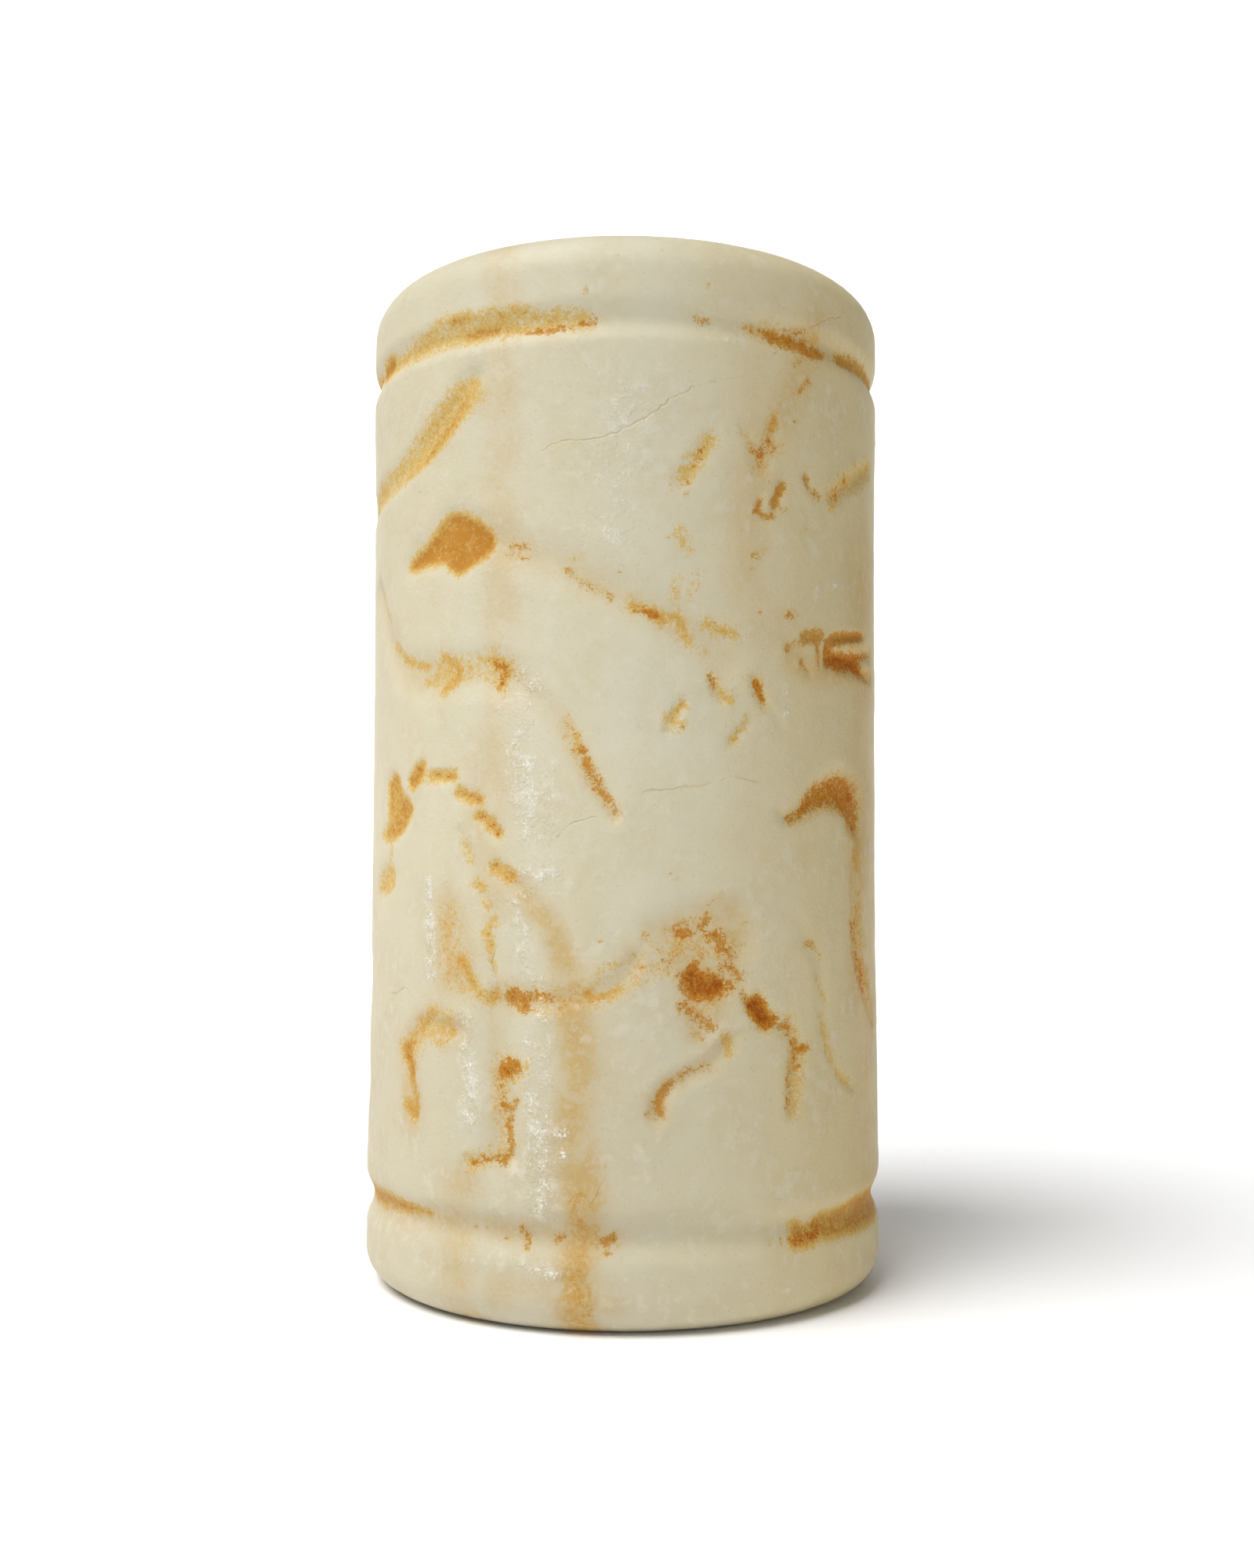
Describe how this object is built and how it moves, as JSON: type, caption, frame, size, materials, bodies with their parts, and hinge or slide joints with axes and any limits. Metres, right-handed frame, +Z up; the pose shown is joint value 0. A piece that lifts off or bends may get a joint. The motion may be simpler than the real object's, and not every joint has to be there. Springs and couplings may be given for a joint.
{
  "type": "cylinder seal",
  "caption": "Engraved stone cylinder seal with rounded collars, border grooves, two rows of worn animal figures and a lengthwise bore.",
  "frame": {"origin": "centre of the flat base, on the surface that the seal stands on", "axes": "+Z up along the bore, -Y out of the side that the picture shows, +X to its right"},
  "size_m": [0.0228, 0.0228, 0.0433],
  "materials": {
    "stone": "satin-worn cream calcite, slightly translucent, with iron-brown stain in the cuts"
  },
  "bodies": {
    "root": {"seal": "stone"}
  },
  "joints": []
}
